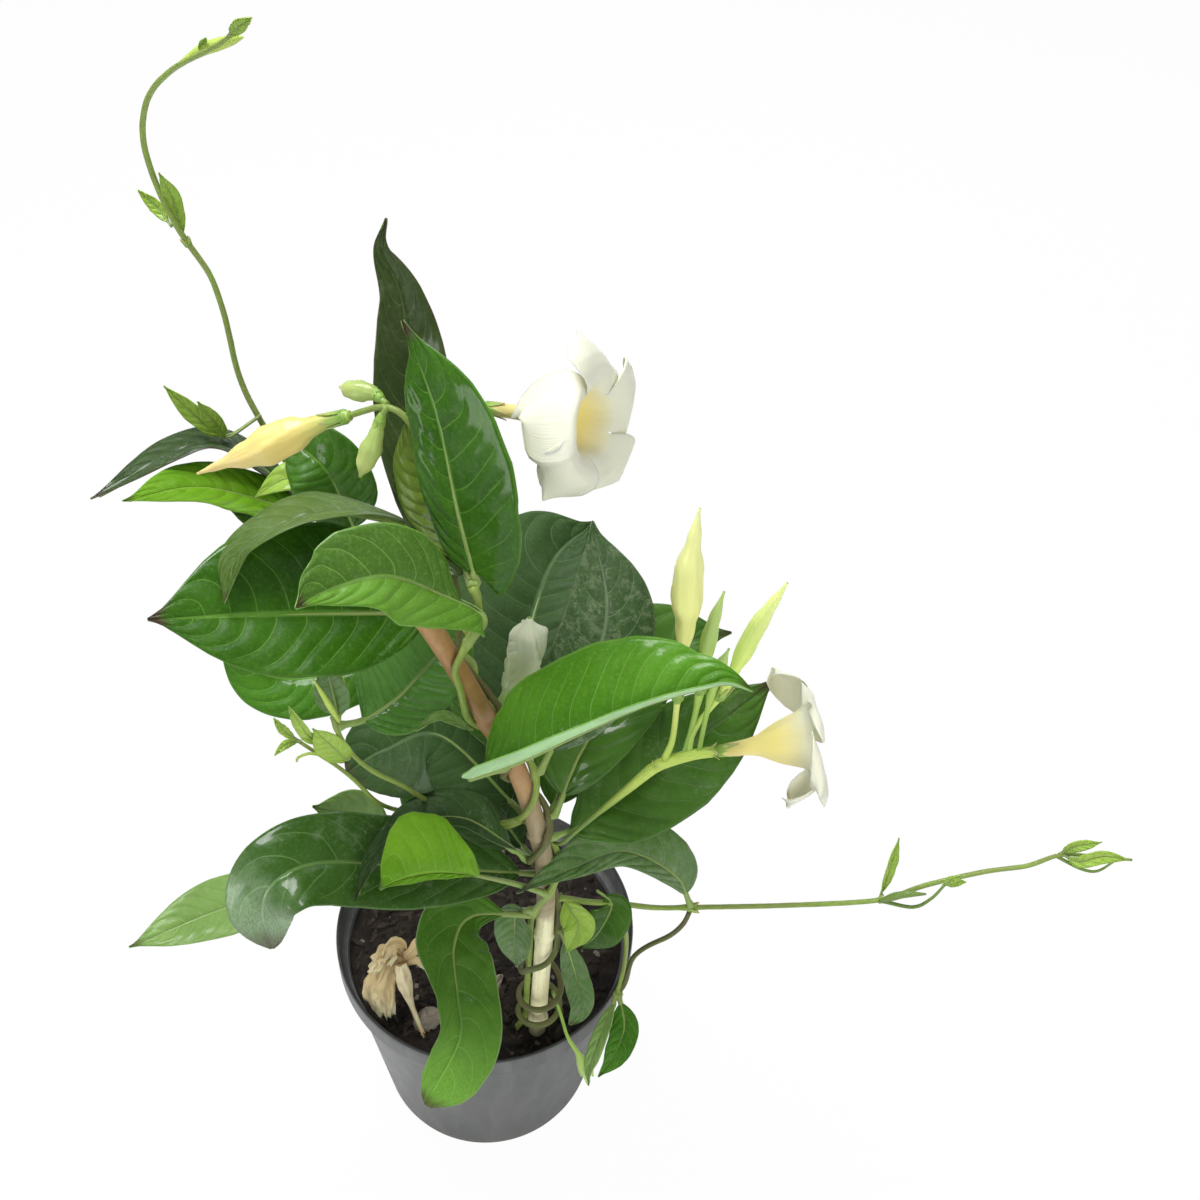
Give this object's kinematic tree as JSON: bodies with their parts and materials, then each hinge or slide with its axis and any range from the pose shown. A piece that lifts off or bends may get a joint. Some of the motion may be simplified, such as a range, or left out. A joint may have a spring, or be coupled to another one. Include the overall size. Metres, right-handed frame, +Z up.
{
  "type": "potted mandevilla",
  "caption": "Twining mandevilla with glossy leaves, white funnel flowers and buds, trained up a bamboo cane in a round black nursery pot.",
  "frame": {"origin": "centre of the pot's flat underside, at the height it rests on", "axes": "+Z up the pot's axis; -Y towards the front, where the bright flowers, the long front leaf and the cane are; +X to the right, the way the long side runner points"},
  "size_m": [0.3733, 0.1906, 0.4804],
  "materials": {
    "pot": "thin black polypropylene, satin, dusty and scuffed",
    "growing_mix": "dark moist peat and bark with pale flecks",
    "bamboo": "pale tan bamboo with nodes, stained orange-brown higher up",
    "vine_stem": "green-brown twining stem",
    "young_stem": "light green young stem",
    "leaf": "glossy dark green upper side, pale matt underside, light midrib and side veins",
    "petal": "soft white petal with a yellow throat, cream when furled",
    "green_bud": "yellow-green bud, satin",
    "dried_petal": "papery tan dried petals"
  },
  "bodies": {
    "root": {"back_stem": "vine_stem", "bamboo_cane": "bamboo", "bud_drooping": "green_bud", "bud_furled": "petal", "bud_half_open": "petal", "bud_hanging_left": "green_bud", "bud_inner": "green_bud", "bud_right": "green_bud", "bud_small_left": "green_bud", "bud_tall": "petal", "dried_flower": "dried_petal", "flower_right": "petal", "flower_stalk": "young_stem", "flower_top": "petal", "growing_mix": "growing_mix", "hanging_shoot": "young_stem", "leaf_back_left": "leaf", "leaf_back_low": "leaf", "leaf_back_right": "leaf", "leaf_back_right_up": "leaf", "leaf_back_top": "leaf", "leaf_big_left": "leaf", "leaf_dark_narrow": "leaf", "leaf_drooping_blue": "leaf", "leaf_drooping_yellow": "leaf", "leaf_edge_olive": "leaf", "leaf_far_left_low": "leaf", "leaf_front_low": "leaf", "leaf_glossy_mid": "leaf", "leaf_hanging_back": "leaf", "leaf_hanging_front": "leaf", "leaf_inner_left": "leaf", "leaf_inner_low": "leaf", "leaf_left_back": "leaf", "leaf_left_bright": "leaf", "leaf_left_dark_far": "leaf", "leaf_left_low": "leaf", "leaf_long_arch": "leaf", "leaf_mid_centre": "leaf", "leaf_pale_left": "leaf", "leaf_right_big": "leaf", "leaf_right_dark": "leaf", "leaf_right_low": "leaf", "leaf_round_dark": "leaf", "leaf_small_bright": "leaf", "leaf_speckled": "leaf", "leaf_top_bright": "leaf", "leaf_top_dark": "leaf", "leaf_under_big": "leaf", "olive_branch": "vine_stem", "pot": "pot", "raceme_left": "young_stem", "raceme_right": "young_stem", "runner_left": "young_stem", "runner_right": "young_stem", "side_shoot_left": "young_stem", "side_shoot_low": "young_stem", "vine_a": "vine_stem", "vine_b": "vine_stem"}
  },
  "joints": []
}
